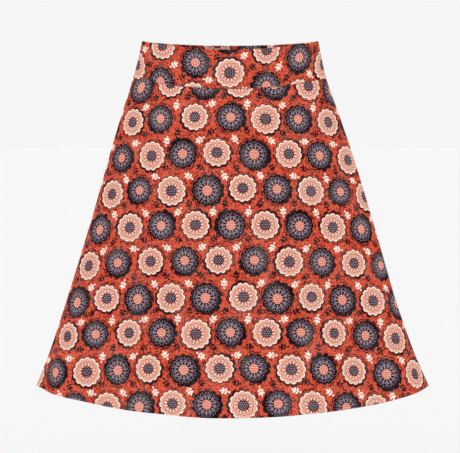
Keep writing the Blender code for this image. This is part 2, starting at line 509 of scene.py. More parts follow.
def panel_radius(half):
    """The cut panel is a sector of a flat ring: its inner radius, at the waist seam."""
    top = row_length(half, WAISTBAND_HEIGHT)
    hem = row_length(half, SIDE_LENGTH)
    return top * middle_fall(half, SIDE_LENGTH) / (hem - top)


def panel_rise(half, run, ends, drop):
    """How far a panel's cloth rises off the form, at a run along a row with these ends."""
    inner_radius = panel_radius(half)
    radius = inner_radius + middle_fall(half, drop)
    turn = run / radius
    creases = crease_height(half.creases, radius * np.sin(turn), radius * np.cos(turn) - inner_radius)
    from_side = np.minimum(run - ends[0], ends[1] - run)
    from_waist = drop - WAISTBAND_HEIGHT
    gathers = seam_puckers(run, from_waist) + eased(from_waist / CREASE_START) * creases
    return eased(from_side / SIDE_HOLD) * gathers - seam_roll(from_side) - seam_roll(from_waist)


def runs_with_turns(points, deep):
    """The distance along each row from its middle, with what turns in at the side seams."""
    run = run_lengths(points)
    beyond = np.zeros(points.shape[1])
    beyond[:SIDE_TURNS] = -deep[:SIDE_TURNS]
    beyond[-SIDE_TURNS:] = deep[-SIDE_TURNS:]
    return run + beyond


def cut_size(cut):
    """The longer and the shorter side of a cut piece, and its area."""
    one_way = cut[1:, 1:] - cut[:-1, :-1]
    other_way = cut[1:, :-1] - cut[:-1, 1:]
    double = one_way[..., 0] * other_way[..., 1] - one_way[..., 1] * other_way[..., 0]
    width, height = np.ptp(cut.reshape(-1, 2), axis=0)
    return (max(width, height), min(width, height)), np.abs(double).sum() / 2


def lay_path(half, path, cloth, rise):
    """A path's rows laid on a half: each point's drop, its run along the row, and its place."""
    places, deep = columns_across(cloth.columns)
    drop, across = spread_out(path.drop, places)
    across = off_seams(half, across, drop, cloth.thickness)
    run = runs_with_turns(skin(half, across, drop), deep)
    lift = path.lift[:, None] - path.turn[:, None] * deep[None, :]
    lift = lift + rise(half, run, (run[:, :1], run[:, -1:]), drop) - path.sink[:, None]
    return drop, run, laid(half, across, drop, lift, cloth.thickness / 2)


def sew_panel(half, cloth, paints):
    """One panel with its turned hem, and its flat size and area."""
    drop, run, middle = lay_path(half, panel_path(cloth), cloth, panel_rise)
    inner_radius = panel_radius(half)
    fall = travelled(middle)[:, middle.shape[1] // 2, None]
    radius = inner_radius + fall - fall[len(SEAM_ROWS) - 1] + SEAM_OUT[-1]
    turn = run / (inner_radius + middle_fall(half, drop))
    cut_x, cut_y = radius * np.sin(turn), radius * np.cos(turn) - inner_radius
    name = "skirt_" + half.name
    cut = np.stack([-half.face * cut_x, -cut_y], axis=-1) + CUT_FROM[name]
    piece = sew_sheet(name, half.face, middle, cloth.thickness, cut, paints)
    return piece, *cut_size(cut)


def band_path(cloth):
    """Rows of a waistband's cloth: up its inside, over the top edge and down to the waist seam."""
    thick = cloth.thickness
    radius = (cloth.band_wall - thick) / 2
    fold = thick / 2 + radius
    bottom = WAISTBAND_HEIGHT - SEAM_GAP / 2 - thick / 2
    inside = np.linspace(WAISTBAND_HEIGHT + cloth.band_tail, fold, BAND_INSIDE_ROWS)
    past, inward = turned_edge(radius)
    fall = np.linspace(fold, bottom - SEAM_OUT[-1], BAND_OUTSIDE_ROWS)[1:-1]
    drop = np.concatenate([inside, fold - past, fall, bottom - SEAM_OUT[::-1]])
    below = inside - WAISTBAND_HEIGHT + BAND_STANDS_OFF
    stands_off = cloth.thickness * 2 * eased(below / BAND_STANDS_OFF)
    lift = np.concatenate(
        [-2 * radius - stands_off, inward - 2 * radius, np.zeros(len(fall)), -SEAM_DEEP[::-1]]
    )
    outside = np.arange(len(drop)) >= len(inside) + len(past)
    sink = outside * seam_roll(np.abs(WAISTBAND_HEIGHT - drop))
    return Path(drop, lift + WAISTBAND_PROUD - thick / 2, outside * BAND_TURN, sink)


def band_rise(half, run, ends, drop):
    """How far a waistband's cloth rises off the form, at a run along a row with these ends."""
    from_side = np.minimum(run - ends[0], ends[1] - run)
    gathers = BAND_PUCKER * seam_puckers(run + BAND_PUCKER_SHIFT, np.abs(WAISTBAND_HEIGHT - drop))
    return eased(from_side / SIDE_HOLD) * gathers - seam_roll(from_side)


def sew_band(half, cloth, paints):
    """One waistband piece, folded double at its top edge, with the print turned crosswise."""
    _, run, middle = lay_path(half, band_path(cloth), cloth, band_rise)
    name = "waistband_" + half.name
    cut = np.stack([travelled(middle), -half.face * run], axis=-1) + CUT_FROM[name]
    piece = sew_sheet(name + "_cloth", half.face, middle, cloth.thickness, cut, paints)
    return piece, *cut_size(cut)


LAYER_RISE = 1.06  # from one layer of a seam allowance to the next, in thicknesses of the cloth
ALLOWANCE_TOP = 0.003  # how far below the waist seam the side seams' allowances begin
ALLOWANCE_FOOT = 0.0008  # and how far above the hem's raw edge they end
ALLOWANCE_ROWS, ALLOWANCE_COLUMNS = 140, 8
ALLOWANCE_CUT = 0.3  # how far across the printed cloth they were cut
OVER_SEAM = 0.0012  # how far they reach over the seam
TUCK, TUCK_REACH = 0.0006, 0.004  # how much deeper they lie right beside it, and how far from it
NEAR_POINTS, NEAR_SHARE = 60, 0.3  # the part of the form that is measured beside a side seam


def allowance_span(cloth):
    """The drops that the side seams' allowances run between."""
    return WAISTBAND_HEIGHT + ALLOWANCE_TOP, SIDE_LENGTH - cloth.hem_depth - ALLOWANCE_FOOT


def beside_seam(half, side, distance, drop):
    """Each point's across, at a distance along the form from a side seam. side is -1 or 1."""
    nearby = side * (1 - np.linspace(0, 1, NEAR_POINTS) ** 2 * NEAR_SHARE)
    across = np.empty_like(distance)
    for row in range(len(distance)):
        points = skin(half, nearby, np.full_like(nearby, drop[row, 0]))
        across[row] = np.interp(distance[row], travelled(points), nearby)
    return across


def seam_rise(distance, drop):
    """How far the cloth beside a side seam rises off the form near the waist seam's gathers."""
    fading = np.exp(-(drop - WAISTBAND_HEIGHT) / PUCKER_REACH)
    return -eased(distance / SIDE_HOLD) * PUCKER_HEIGHT * fading


def allowance_points(half, side, distance, drop, lift):
    """Points on the inside of a half beside a side seam. The first column reaches over the seam."""
    across = beside_seam(half, side, distance, drop)
    points = skin(half, across, drop) + facing(half, across, drop) * lift[..., None]
    points[..., 1] = half.face * np.maximum(half.face * points[..., 1], 0)
    points[:, 0] = points[:, 1]
    points[:, 0, 0] -= side * OVER_SEAM / 3
    points[:, 0, 1] -= half.face * OVER_SEAM
    return points


def sew_allowance(name, side, layer, cloth, paints):
    """One side seam allowance: a strip that lies towards the back, in its layer of the two."""
    back = HALVES[1]
    drops = np.linspace(*allowance_span(cloth), ALLOWANCE_ROWS)
    distances = np.concatenate([[0], np.linspace(0, cloth.allowance, ALLOWANCE_COLUMNS)])
    drop, distance = spread_out(drops, distances)
    under_panel = cloth.thickness / 2 + cloth.thickness * LAYER_RISE * layer
    lift = seam_rise(distance, drop) - under_panel - TUCK * (1 - eased(distance / TUCK_REACH))
    points = allowance_points(back, side, distance, drop, lift)
    if side > 0:
        points, distance = points[:, ::-1], distance[:, ::-1]
    cut = np.stack([side * (ALLOWANCE_CUT + distance), -drop], axis=-1)
    piece = sew_sheet(name, 1, points[:, ::-1], cloth.thickness, cut[:, ::-1], paints)
    long = travelled(points)[-1, ALLOWANCE_COLUMNS // 2]
    wide = cloth.allowance + OVER_SEAM
    return piece, (wide, long), wide * long


# ---------------------------------------------------------------- threads


THREAD_SIDES = 5
THREAD_END = 0.01  # the share of the bake's square that each end of a thread takes
THREAD_END_RADIUS = 0.4  # in that share
THREAD_MARGIN = 0.1  # the free part at each side of a thread's strip of the square
OVERLOCK_PAST = 0.0003  # how far the overlock's loops reach past a raw edge
OVERLOCK_INSET = 0.003  # how far from the side seams it starts
ZIGZAG_STEPS = 6  # points of one overlock stitch
STITCH_INSET = 0.006  # how far from the side seams the first stitch is
STITCH_POINTS = 5
STITCH_SINK = 0.8  # how deep a stitch's ends sink into the cloth, in radii of the thread

# A row of stitches: from one to the next, each one's length, how far it falls over its length, and
# how much it climbs from one layer of cloth to another.
StitchRow = namedtuple("StitchRow", "pitch length fall climb")


def thread_tubes(name, lines, ups, radius, paint):
    """A closed thread along each line of points. ups is the cloth's facing at those points."""
    angle = np.arange(THREAD_SIDES) * 2 * math.pi / THREAD_SIDES
    round_end = np.stack([np.cos(angle), np.sin(angle)], axis=1) * THREAD_END_RADIUS + 0.5
    verts, faces, places, first = [], [], [], 0
    for index, (line, up) in enumerate(zip(lines, ups)):
        ahead = np.gradient(line, axis=0)
        ahead /= np.linalg.norm(ahead, axis=1, keepdims=True)
        aside = np.cross(ahead, up)
        aside /= np.linalg.norm(aside, axis=1, keepdims=True)
        over = np.cross(aside, ahead)
        ring = aside[:, None] * np.cos(angle)[None, :, None] + over[:, None] * np.sin(angle)[None, :, None]
        verts.append((line[:, None] + radius * ring).reshape(-1, 3))
        low = (index + THREAD_MARGIN) / len(lines)
        high = (index + 1 - THREAD_MARGIN) / len(lines)
        across = np.linspace(low, high, THREAD_SIDES + 1)
        along = np.linspace(THREAD_END, 1 - THREAD_END, len(line))
        for step in range(len(line) - 1):
            for side in range(THREAD_SIDES):
                here, beside = side, (side + 1) % THREAD_SIDES
                row, after = first + step * THREAD_SIDES, first + (step + 1) * THREAD_SIDES
                faces.append((row + here, after + here, after + beside, row + beside))
                left, right = along[step], along[step + 1]
                down, up_to = across[side], across[side + 1]
                places += [(left, down), (right, down), (right, up_to), (left, up_to)]
        last = first + (len(line) - 1) * THREAD_SIDES
        faces.append(tuple(range(first, first + THREAD_SIDES)))
        faces.append(tuple(range(last, last + THREAD_SIDES))[::-1])
        for edge in (0, 1 - THREAD_END):
            places += [(edge + u * THREAD_END, low + v * (high - low)) for u, v in round_end]
        first = last + THREAD_SIDES
    piece = mesh_object(name, np.concatenate(verts), faces)
    piece.data.materials.append(paint)
    spread = piece.data.uv_layers.new(name=BAKE_MAP)
    spread.uv.foreach_set("vector", np.array(places, dtype=np.float32).ravel())
    return piece


def form_line(half, across, drop, lift):
    """Points over the form along a line, and the form's facing there."""
    up = facing(half, across, drop)
    return skin(half, across, drop) + up * lift[..., None], up


def thread_bed(half, level, lift, rise):
    """A function that lays points on the inside of the cloth near a level, at its lift and rise."""
    places, along = level_run(half, level)

    def bed(across, drop, off=0):
        run = np.interp(across, places, along)
        return form_line(half, across, drop, lift + off + rise(half, run, (along[0], along[-1]), drop))

    return bed


def even_across(half, drop, count, inset):
    """Places across that lie evenly along the cloth at a drop, from inset to inset."""
    places, along = level_run(half, drop)
    return np.interp(np.linspace(along[0] + inset, along[-1] - inset, count), along, places)


def zigzag(count):
    """How far each point of the overlock's loops swings to the side, from -1 to 1."""
    return np.sin(np.arange(count) * math.pi / (ZIGZAG_STEPS / 2))


def overlock(name, half, edge, inward, bed, cloth, paint):
    """The overlock along a level raw edge: a zigzag over it, and the needle's line beside it.

    inward is 1 where the cloth lies below its raw edge, and -1 where it lies above.
    """
    turns = int(row_length(half, edge) / cloth.overlock_pitch)
    across = even_across(half, edge, turns * ZIGZAG_STEPS + 1, OVERLOCK_INSET)
    swing = zigzag(len(across)) * cloth.overlock_width / 2
    middle = edge + inward * (cloth.overlock_width / 2 - OVERLOCK_PAST)
    loops = bed(across, middle + swing)
    spaced = across[:: ZIGZAG_STEPS // 2]
    needle = bed(spaced, np.full(len(spaced), middle + inward * cloth.overlock_width / 2))
    lines, ups = zip(loops, needle)
    return thread_tubes(name, lines, ups, cloth.thread_radius, paint)


def stitches(name, half, level, bed, row, cloth, paint):
    """A row of short stitches along a level."""
    total = row_length(half, level)
    centres = even_across(half, level, int(total / row.pitch), STITCH_INSET)
    steps = np.linspace(-1, 1, STITCH_POINTS)
    off = row.climb * eased((steps + 1) / 2) - cloth.thread_radius * STITCH_SINK * (1 - steps**2)
    across = centres[:, None] + steps * row.length / total
    drop = np.broadcast_to(level + row.fall * steps / 2, across.shape)
    lines, ups = bed(across, drop, off)
    return thread_tubes(name, lines, ups, cloth.thread_radius, paint)


def seam_overlock(side, cloth, paint):
    """The overlock thread along the free edge of a side seam's two allowances."""
    back = HALVES[1]
    low, high = allowance_span(cloth)
    turns = int((high - low) / cloth.overlock_pitch)
    drop = np.linspace(low, high, turns * ZIGZAG_STEPS + 1)
    reach = cloth.overlock_width / 2
    middle = cloth.allowance + OVERLOCK_PAST - reach
    distance = np.stack([middle + reach * zigzag(len(drop)), np.full(len(drop), middle - reach)])
    layers = cloth.thickness * (1 + 2 * LAYER_RISE) + cloth.thread_radius / 2
    lines, ups = [], []
    for row in distance:
        across = beside_seam(back, side, row[:, None], drop[:, None])[:, 0]
        line, up = form_line(back, across, drop, seam_rise(row, drop) - layers)
        lines.append(line)
        ups.append(up)
    name = "side_overlock_" + ("left" if side < 0 else "right")
    return thread_tubes(name, lines, ups, cloth.thread_radius, paint)


# ---------------------------------------------------------------- shader maths


def maths_method(operation):
    """A method that adds one kind of Math node, of the number itself and any others."""

    def method(self, *others):
        return self.maths(operation, self, *others)

    return method


class Number:
    """A node's output that adds Math nodes when it is calculated with."""

    def __init__(self, shader, socket):
        self.shader = shader
        self.socket = socket

    def maths(self, operation, *values, clamp=False):
        """A Math node of these values, which may be numbers or other outputs."""
        settings = {"operation": operation, "use_clamp": clamp}
        return self.shader.node("Math", settings, dict(enumerate(values)))

    __add__ = __radd__ = maths_method("ADD")
    __sub__ = maths_method("SUBTRACT")
    __mul__ = __rmul__ = maths_method("MULTIPLY")
    __truediv__ = maths_method("DIVIDE")
    __pow__ = maths_method("POWER")
    __mod__ = maths_method("FLOORED_MODULO")
    __abs__ = maths_method("ABSOLUTE")
    __gt__ = maths_method("GREATER_THAN")
    __lt__ = maths_method("LESS_THAN")
    floor = maths_method("FLOOR")
    root = maths_method("SQRT")
    sine = maths_method("SINE")
    cosine = maths_method("COSINE")
    lowest = maths_method("MINIMUM")
    highest = maths_method("MAXIMUM")
    angle_of = maths_method("ARCTAN2")  # the angle of the direction (across, self)

    def __rsub__(self, other):
        return self.maths("SUBTRACT", other, self)

    def __neg__(self):
        return self * -1

    def inked(self, soft=0.3):
        """1 where this distance inside an edge is above 0, and 0 beyond, over a soft width."""
        return self.maths("MULTIPLY_ADD", self, 1 / soft, 0.5, clamp=True)


SHEEN_ROUGHNESS = 0.5
SPECULAR = 0.04  # cloth, thread and floor hardly glint
COLOUR_UNDER, COLOUR_OVER, COLOUR_RESULT = 6, 7, 2  # the Mix node's sockets for colours
OBJECT_PLACE = 3  # the Texture Coordinate node's output of a point's place on its object


class Shader:
    """A material and its node tree, with one way to add a node."""

    def __init__(self, name, roughness, sheen):
        self.material = bpy.data.materials.new(name)
        self.material.use_nodes = True
        self.tree = self.material.node_tree
        self.surface = self.tree.nodes["Principled BSDF"]
        self.surface.inputs["Roughness"].default_value = roughness
        self.surface.inputs["Sheen Weight"].default_value = sheen
        self.surface.inputs["Sheen Roughness"].default_value = SHEEN_ROUGHNESS
        self.surface.inputs["Specular IOR Level"].default_value = SPECULAR

    def node(self, kind, settings=None, inputs=None, output=0):
        """Add a node: its settings are set first, then its sockets' values or links."""
        node = self.tree.nodes.new("ShaderNode" + kind)
        for name, value in (settings or {}).items():
            setattr(node, name, value)
        for name, value in (inputs or {}).items():
            if isinstance(value, Number):
                self.tree.links.new(value.socket, node.inputs[name])
            else:
                node.inputs[name].default_value = value
        return Number(self, node.outputs[output])

    def parts(self, vector):
        """A vector's or colour's first two parts."""
        apart = self.node("SeparateXYZ", inputs={0: vector})
        node = apart.socket.node
        return apart, Number(self, node.outputs[1])

    def joined(self, x, y):
        """A vector of two numbers."""
        return self.node("CombineXYZ", inputs={0: x, 1: y})

    def mixed(self, share, under, over):
        """One colour over another, by share."""
        under, over = (c if isinstance(c, Number) else (*c, 1) for c in (under, over))
        settings = {"data_type": "RGBA"}
        inputs = {"Factor": share, COLOUR_UNDER: under, COLOUR_OVER: over}
        return self.node("Mix", settings, inputs, COLOUR_RESULT)

    def noise(self, x, y, size, detail=2.0, output=0):
        """Soft noise whose blotches are about size wide. A shift of x or y makes it unlike another."""
        place = self.joined(x, y)
        inputs = {"Vector": place, "Scale": 1 / size, "Detail": detail}
        return self.node("TexNoise", {"noise_dimensions": "2D"}, inputs, output)

    def grain(self, scale):
        """Noise through the object's own space, with this many blotches a metre."""
        place = self.node("TexCoord", output=OBJECT_PLACE)
        return self.node("TexNoise", inputs={"Vector": place, "Scale": scale})

    def finish(self, colour, roughness=None, bump=None):
        """Join the colour, the roughness and a Bump node with these inputs to the surface."""
        normal = bump and self.node("Bump", inputs=bump)
        for name, value in (("Base Color", colour), ("Roughness", roughness), ("Normal", normal)):
            if value is not None:
                self.tree.links.new(value.socket, self.surface.inputs[name])
        return self.material


# ---------------------------------------------------------------- the print, in millimetres


def ink(code):
    """A colour as the shader takes it, from its six hexadecimal figures."""
    parts = (int(code[i : i + 2], 16) / 255 for i in (0, 2, 4))
    return tuple(p / 12.92 if p <= 0.04045 else ((p + 0.055) / 1.055) ** 2.4 for p in parts)


REPEAT_COLUMNS, REPEAT_ROWS = 6, 6  # the flowers of one repeat of the print
ROW_SHIFT = 1 / 3  # how far each row of flowers starts to the right of the one before it
FLOWER_SCATTER = 5.0  # how far the flowers stray from the middle of their plots, all told
SPRIG_SCATTER = 2.0
PETAL_SCALLOP = 3.4  # how deep the outline dips between two petals
PETAL_RIM = 2.0
OUTLINE = 1.8
SHADOW_SHIFT = 2.0  # the dark under-print is this far off the flower, in a chance direction
GAP_LINE = 0.45  # half the width of the lines between petals
VEIN = 0.44  # and of the dashed veins
DASH_PITCH = 3.9
DISC_DOT_PITCH = 3.1
ECHO = 4.6  # how far outside the flower its broken echo line runs
ECHO_LINE = 1.1  # half the width of that line
SCRIBBLE = 6.5  # how large the ground's scribbles are

# Shares of a flower's own radius.
LEAST_SIZE, SIZE_CHANCE = 0.93, 0.14  # of the radius setting: the smallest flower, and chance on top
SECOND_PETALS = 0.66  # how far the inner row of petals reaches
DISC = 0.34  # and the heart
SHADING_FROM, SHADING_OVER = 0.95, 0.5  # the petals darken inwards from here, over this much
VEINS_FROM = 0.70  # the outer petals' veins lie outside this
SECOND_VEINS_TO = 0.58  # and the inner ones' inside this

TURN_CHANCE = 40  # how far a flower is turned by chance, in petals
SCALLOP_POWER = 2.5  # the higher, the narrower the dip between two petals
SECOND_SCALLOP = 2.6  # how deep the inner petals' outline dips
SECOND_EDGE, SECOND_RIM = 1.1, 1.0  # the dark line outside the inner petals, and their light rim
DISC_EDGE = 1.3  # the dark line round the heart
SHADING = 0.35  # how much the petals darken
GAP_INK = 0.7  # how strong the lines between petals are
DASH_SHARE = 0.55  # how much of a dashed vein is inked
VEIN_ASIDE, SECOND_VEIN_ASIDE = 0.42, 0.86  # where veins lie: 0 is a petal's middle, 1 its side
DISC_DOT, DISC_DOT_SOFT = 0.26, 0.12  # a dot's radius and its soft edge, as shares of the dots' pitch
ECHO_PATCH, ECHO_LEVEL, ECHO_CRISP = 14.0, 0.46, 20  # where the echo line breaks off, and how sharply
SHADOW_TURN = 11  # the shadow's direction is this many radians times the flower's chance
SHADOW_SPREAD = 0.4  # how much further than the outline the shadow reaches

# The leaves of half a sprig, which is the same left and right: where along the stem each grows, its
# angle, its length and half its width.
Leaf = namedtuple("Leaf", "foot angle length half_width")
LEAVES = [
    Leaf(1.5, math.pi / 2, 8.0, 1.8),
    Leaf(0.5, math.radians(38), 7.5, 1.7),
    Leaf(-4.0, math.radians(32), 7.0, 1.6),
]
BERRY, BERRY_FOOT = 1.7, -8.2  # the berry's radius, and where along the stem its middle is
STEM, STEM_TOP = 0.45, 2  # half the stem's width, and where it ends
LIGHT_SPRIG, DARK_SPRIG = (1.0, 0.885), (4 / 3, 1.115)  # the middle of one of each, in plots

# The ground: how wide each kind of noise is, where it starts to show, how soft its edge is and how
# strongly it is inked.
WOBBLE, WOBBLE_SIZE = 1.6, 7.0  # the drawing's lines waver by this much
BLOTCH_SIZE, FINE_SIZE, PATCH_LEVEL, PATCH_SOFT, PATCH_INK = 13.0, 3.2, 0.51, 0.06, 0.62
FLECK_SIZE, FLECK_LEVEL, FLECK_SOFT, FLECK_INK = 2.1, 0.62, 0.05, 0.6
SCRIBBLE_LINE, SCRIBBLE_SOFT, SCRIBBLE_INK = 0.034, 0.02, 0.85


class Plot:
    """The print's plots: a slanting lattice with one motif in each plot."""

    def __init__(self, shader, x, y, across, down, origin_x, origin_y, scatter):
        slid_y = y - origin_y
        row = (slid_y / down).floor()
        slid_x = x - origin_x - row * (ROW_SHIFT * across)
        column = (slid_x / across).floor()
        place = shader.joined(column % REPEAT_COLUMNS, row % REPEAT_ROWS)
        chance = shader.node("TexWhiteNoise", {"noise_dimensions": "2D"}, {"Vector": place}, output=1)
        self.chance_x, self.chance_y = shader.parts(chance)
        self.x = slid_x - (column + 0.5) * across + (self.chance_x - 0.5) * scatter
        self.y = slid_y - (row + 0.5) * down + (self.chance_y - 0.5) * scatter
        self.odd = (row + column) % 2


def flower(shader, x, y, design, colour):
    """The flower heads over a colour, alternately light and dark."""
    plot = Plot(shader, x, y, design.across * 1000, design.down * 1000, 0, 0, FLOWER_SCATTER)
    radius = away(plot.x, plot.y)
    size = design.radius * 1000 * (LEAST_SIZE + SIZE_CHANCE * plot.chance_y)
    petals = design.petals
    turned = plot.y.angle_of(plot.x) * (petals / (2 * math.pi)) + plot.chance_x * TURN_CHANCE
    aside = abs((turned % 1) - 0.5) * 2
    petal_width = radius * (math.pi / petals)
    edge = size - PETAL_SCALLOP * aside**SCALLOP_POWER
    second = size * SECOND_PETALS - SECOND_SCALLOP * (1 - aside) ** SCALLOP_POWER
    disc = size * DISC
    dark = plot.odd

    def pick(light_ink, dark_ink):
        return shader.mixed(dark, light_ink, dark_ink)

    def filled(reach, under, over):
        return shader.mixed((reach - radius).inked(), under, over)

    dark_line = pick(design.maroon, design.night)
    petal = pick(design.peach, design.charcoal)
    near_heart = ((size * SHADING_FROM - radius) / (size * SHADING_OVER)).lowest(1).highest(0)
    petal = shader.mixed(near_heart * SHADING, petal, pick(design.salmon, design.night))

    line = pick(design.salmon, design.grey)
    gap = (GAP_LINE - (1 - aside) * petal_width).inked()
    petal = shader.mixed(gap * GAP_INK, petal, line)
    dash = ((radius / DASH_PITCH % 1) < DASH_SHARE) * (radius > size * VEINS_FROM)
    vein = (VEIN - abs(aside - VEIN_ASIDE) * petal_width).inked()
    petal = shader.mixed(dash * vein, petal, line)

    petal = filled(second + SECOND_EDGE, petal, dark_line)
    inner_petal = pick(design.cream, design.grey)
    petal = filled(second, petal, inner_petal)
    petal = filled(second - SECOND_RIM, petal, pick(design.salmon, design.charcoal))
    inner_vein = (VEIN - abs(aside - SECOND_VEIN_ASIDE) * petal_width).inked()
    inner_dash = inner_vein * (radius < size * SECOND_VEINS_TO)
    petal = shader.mixed(inner_dash, petal, inner_petal)

    heart = pick(design.charcoal, design.salmon)
    dot_row = (plot.y / DISC_DOT_PITCH).floor()
    dot_x = (plot.x / DISC_DOT_PITCH + dot_row * 0.5) % 1 - 0.5
    dot_y = (plot.y / DISC_DOT_PITCH) % 1 - 0.5
    dot = (DISC_DOT - away(dot_x, dot_y)).inked(DISC_DOT_SOFT)
    heart = shader.mixed(dot, heart, pick(design.grey, design.cream))
    petal = filled(disc + DISC_EDGE, petal, dark_line)
    petal = filled(disc, petal, heart)
    rim = filled(edge - PETAL_RIM, pick(design.cream, design.night), petal)

    broken = shader.noise(x + 40, y + 40, ECHO_PATCH, detail=1.0) - ECHO_LEVEL
    echo = (ECHO_LINE - abs(radius - edge - ECHO)).lowest(broken * ECHO_CRISP)
    colour = shader.mixed(echo.inked(), colour, design.maroon)
    shadow_turn = plot.chance_y * SHADOW_TURN
    shadow_x = plot.x + shadow_turn.cosine() * SHADOW_SHIFT
    shadow_y = plot.y + shadow_turn.sine() * SHADOW_SHIFT
    shadow = edge + OUTLINE + SHADOW_SPREAD - away(shadow_x, shadow_y)
    outline = shadow.highest(edge + OUTLINE - radius)
    colour = shader.mixed(outline.inked(), colour, dark_line)
    return filled(edge, colour, rim)


def away(x, y):
    """How far a point is from the origin."""
    return (x * x + y * y).root()


def leaf(x, y, angle, length, half_width):
    """How far a point is inside a leaf that grows from the origin at an angle."""
    along = x * math.cos(angle) + y * math.sin(angle)
    aside = abs(y * math.cos(angle) - x * math.sin(angle))
    share = along * (2 / length) - 1
    return half_width * (1 - share * share) - aside


def sprig(shader, x, y, design, origin, colour, leaf_ink):
    """Sprigs of five leaves with a berry over a colour, in the gaps between the flowers."""
    across, down = design.across * 1000, design.down * 1000
    corner_x, corner_y = (origin[0] - 0.5) * across, (origin[1] - 0.5) * down
    plot = Plot(shader, x, y, across, down, corner_x, corner_y, SPRIG_SCATTER)
    turn = plot.chance_x * (2 * math.pi)
    sine, cosine = turn.sine(), turn.cosine()
    u = abs(plot.x * cosine - plot.y * sine)
    v = plot.x * sine + plot.y * cosine
    inside = BERRY - away(u, v - BERRY_FOOT)
    for shape in LEAVES:
        inside = inside.highest(leaf(u, v - shape.foot, shape.angle, shape.length, shape.half_width))
    stem = (STEM - u).lowest(v - BERRY_FOOT).lowest(STEM_TOP - v)
    return shader.mixed(inside.highest(stem).inked(), colour, leaf_ink)


def print_colour(shader, x, y, design):
    """The printed cloth's colour at a point of the flat cloth."""
    wobble_x, wobble_y = shader.parts(shader.noise(x, y, WOBBLE_SIZE, output=1))
    x, y = x + (wobble_x - 0.5) * WOBBLE, y + (wobble_y - 0.5) * WOBBLE
    blotch = shader.noise(x, y, BLOTCH_SIZE, detail=3.0)
    fine = shader.noise(x + 70, y, FINE_SIZE)
    patch = (blotch * 0.5 + fine * 0.5 - PATCH_LEVEL).inked(PATCH_SOFT)
    colour = shader.mixed(patch * PATCH_INK, design.coral, design.brick)
    fleck = (shader.noise(x, y + 90, FLECK_SIZE, detail=1.0) - FLECK_LEVEL).inked(FLECK_SOFT)
    colour = shader.mixed(fleck * FLECK_INK, colour, design.orange)
    contour = abs(shader.noise(x + 15, y + 55, SCRIBBLE, detail=1.0) - 0.5)
    scribble = (SCRIBBLE_LINE - contour).inked(SCRIBBLE_SOFT)
    colour = shader.mixed(scribble * SCRIBBLE_INK, colour, design.maroon)
    colour = sprig(shader, x, y, design, LIGHT_SPRIG, colour, design.cream)
    colour = sprig(shader, x, y, design, DARK_SPRIG, colour, design.night)
    return flower(shader, x, y, design, colour)


AGEING_SIZE, AGEING = 45.0, 0.16  # the cloth's slow uneven shade, and its whole range
SLUB_ALONG, SLUB_ASIDE = 0.12, 1.3  # a thread's thick places are long and narrow: noise per millimetre
SLUB_SHADE = 0.22
WORN_LIGHT, WORN_DARK = (1.0, 0.9, 0.82), (0.05, 0.01, 0.01)
WEAVE_BUMP, SLUB_BUMP, SLUB_ROUGHNESS = 0.35, 1.6, 0.12
THREAD_ROUGHNESS, THREAD_SHEEN, THREAD_SHADOW = 0.55, 0.25, 0.6
THREAD_TWIST = 2200.0  # the twist's shading, in blotches a metre


def cloth_paint(name, design, fading):
    """Printed cotton with a fine uneven weave. fading is how far the print is lost."""
    shader = Shader(name, design.roughness, design.sheen)
    place = shader.node("UVMap", {"uv_map": CUT_MAP})
    x, y = shader.parts(place)
    x, y = x * 1000, y * 1000
    colour = print_colour(shader, x, y, design)
    if fading:
        colour = shader.mixed(fading, colour, design.wrong_side)
    age = shader.noise(x, y, AGEING_SIZE) * AGEING - AGEING / 2
    slub_across = shader.noise(x * SLUB_ALONG, y * SLUB_ASIDE, 1.0, detail=1.0)
    slub_down = shader.noise(x * SLUB_ASIDE + 31, y * SLUB_ALONG, 1.0, detail=1.0)
    slub = slub_across + slub_down - 1
    shade = age + slub * SLUB_SHADE
    colour = shader.mixed(shade.highest(0), colour, WORN_LIGHT)
    colour = shader.mixed((-shade).highest(0), colour, WORN_DARK)
    pitch = 2 * math.pi / design.weave_pitch / 1000
    weave = (x * pitch).sine() * (y * pitch).sine()
    relief = weave * WEAVE_BUMP + slub * SLUB_BUMP
    roughness = slub * SLUB_ROUGHNESS + design.roughness
    bump = {"Height": relief, "Strength": 0.45, "Distance": 0.00035}
    return shader.finish(colour, roughness, bump)


def thread_paint(name, colour):
    """Spun polyester thread, with its twist as fine uneven shading."""
    shader = Shader(name, THREAD_ROUGHNESS, THREAD_SHEEN)
    twist = shader.grain(THREAD_TWIST)
    shadow = tuple(c * THREAD_SHADOW for c in colour)
    bump = {"Height": twist, "Strength": 0.4, "Distance": 0.0001}
    return shader.finish(shader.mixed(twist, shadow, colour), bump=bump)


# ---------------------------------------------------------------- settings


def metres(name, description, default, low, high):
    """A length that a user may change."""
    return FloatProperty(
        name=name, description=description, default=default, min=low, max=high, unit="LENGTH", precision=4
    )


def portion(name, description, default):
    """A share from 0 to 1 that a user may change."""
    return FloatProperty(
        name=name, description=description, default=default, min=0, max=1, subtype="FACTOR"
    )


def tint(name, description, code):
    """A colour that a user may change."""
    return FloatVectorProperty(
        name=name, description=description, default=ink(code), min=0, max=1, size=3, subtype="COLOR"
    )


